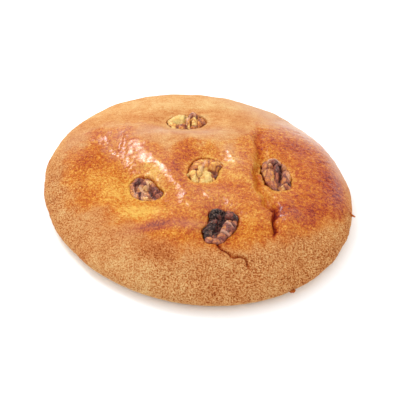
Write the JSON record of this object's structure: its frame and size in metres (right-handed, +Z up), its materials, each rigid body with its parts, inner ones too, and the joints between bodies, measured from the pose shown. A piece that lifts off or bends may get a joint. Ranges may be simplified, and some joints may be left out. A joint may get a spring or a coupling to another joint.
{
  "type": "walnut cake",
  "caption": "Low round domed sweet bread with a tucked rim, a flat base and walnut kernels sunk in dimples on its glossy browned top.",
  "frame": {"origin": "centre of the base, on the surface that the loaf stands on", "axes": "+Z up through the dome, -Y towards the loaf's front, +X towards its right"},
  "size_m": [0.2226, 0.22, 0.0346],
  "materials": {
    "crust": "egg-washed crust, glossy orange-brown on top, matte and grainy towards the rim",
    "walnut_pale": "snapped walnut flesh, pale yellow with patches of tan skin",
    "walnut_brown": "toasted walnut skin, wrinkled, purple-brown with pale veins",
    "walnut_dark": "scorched walnut skin, near black, with a brown lobe"
  },
  "bodies": {
    "root": {"loaf": "crust", "walnut_back": "walnut_pale", "walnut_centre": "walnut_pale", "walnut_left": "walnut_brown", "walnut_right": "walnut_brown", "walnut_front": "walnut_dark"}
  },
  "joints": []
}
